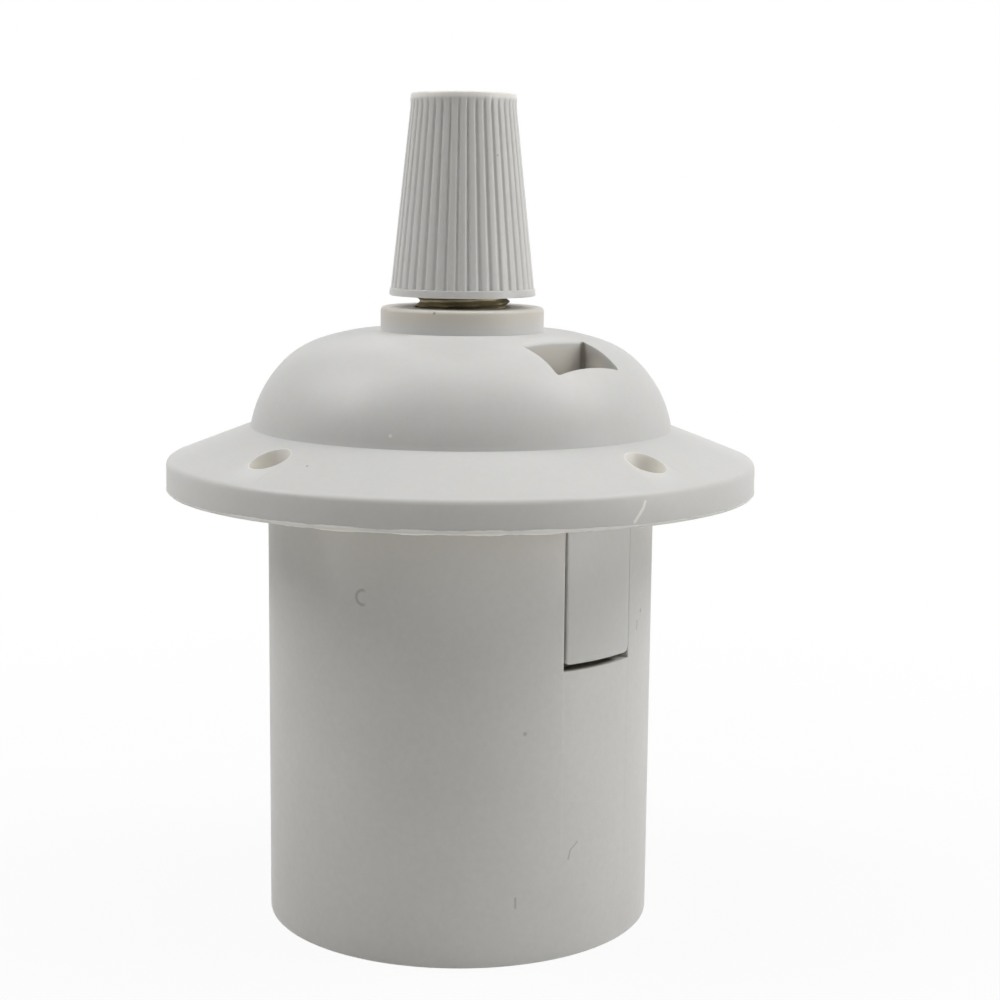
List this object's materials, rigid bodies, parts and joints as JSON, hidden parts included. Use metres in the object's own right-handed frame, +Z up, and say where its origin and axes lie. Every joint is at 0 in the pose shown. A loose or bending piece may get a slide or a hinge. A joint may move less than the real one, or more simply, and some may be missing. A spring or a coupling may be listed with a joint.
{
  "type": "lamp holder",
  "caption": "Snap-together plastic lamp holder with a plain skirt, a domed cap with a drilled conical flange, and a fluted screw-down cord grip.",
  "frame": {"origin": "centre of the skirt's mouth plane, on the holder's axis", "axes": "+Z up the holder's axis to the cord grip; X through the two latch tongues and windows; Y through the two terminals"},
  "size_m": [0.0608, 0.0608, 0.0852],
  "materials": {
    "white_plastic": "white moulded thermoplastic, satin",
    "insert_plastic": "off-white heat-resistant moulding, dull",
    "brass": "stamped and turned brass",
    "steel": "bright zinc-plated steel"
  },
  "bodies": {
    "holder": {"skirt_shell": "white_plastic", "dome_cap": "white_plastic", "thread_sleeve": "insert_plastic", "contact_carrier": "insert_plastic", "centre_contact": "brass", "side_contact": "brass", "centre_contact_rivet": "brass", "side_contact_rivet": "brass", "live_terminal_block": "brass", "neutral_terminal_block": "brass", "entry_nipple": "brass", "lock_nut": "steel"},
    "collet": {"cord_collet": "insert_plastic"},
    "grip": {"cord_grip_cap": "white_plastic"},
    "live_clamp": {"live_wire_clamp": "steel"},
    "live_screw": {"live_terminal_screw": "steel"},
    "neutral_clamp": {"neutral_wire_clamp": "steel"},
    "neutral_screw": {"neutral_terminal_screw": "steel"}
  },
  "joints": [
    {"name": "grip_lift", "type": "slide", "parent": "holder", "child": "collet", "axis": [0, 0, 1], "range_m": [-0.0009, 0.005]},
    {"name": "grip_turn", "type": "hinge", "parent": "collet", "child": "grip", "pos_m": [0, 0, 0.0748], "axis": [0, 0, 1], "range_deg": [-324.5, 1800.5]},
    {"name": "live_clamp_lift", "type": "slide", "parent": "holder", "child": "live_clamp", "axis": [0, 0, 1], "range_m": [-0.0002, 0.0025]},
    {"name": "live_screw_turn", "type": "hinge", "parent": "live_clamp", "child": "live_screw", "pos_m": [0, 0.0105, 0.0478], "axis": [0, 0, 1], "range_deg": [-144.5, 1800.5]},
    {"name": "neutral_clamp_lift", "type": "slide", "parent": "holder", "child": "neutral_clamp", "axis": [0, 0, 1], "range_m": [-0.0002, 0.0025]},
    {"name": "neutral_screw_turn", "type": "hinge", "parent": "neutral_clamp", "child": "neutral_screw", "pos_m": [0, -0.0105, 0.0478], "axis": [0, 0, 1], "range_deg": [-144.5, 1800.5]}
  ],
  "couplings": [
    {"joint": "grip_turn", "follows": "grip_lift", "rad_per_m": 6283.2},
    {"joint": "live_screw_turn", "follows": "live_clamp_lift", "rad_per_m": 12566},
    {"joint": "neutral_screw_turn", "follows": "neutral_clamp_lift", "rad_per_m": 12566}
  ]
}
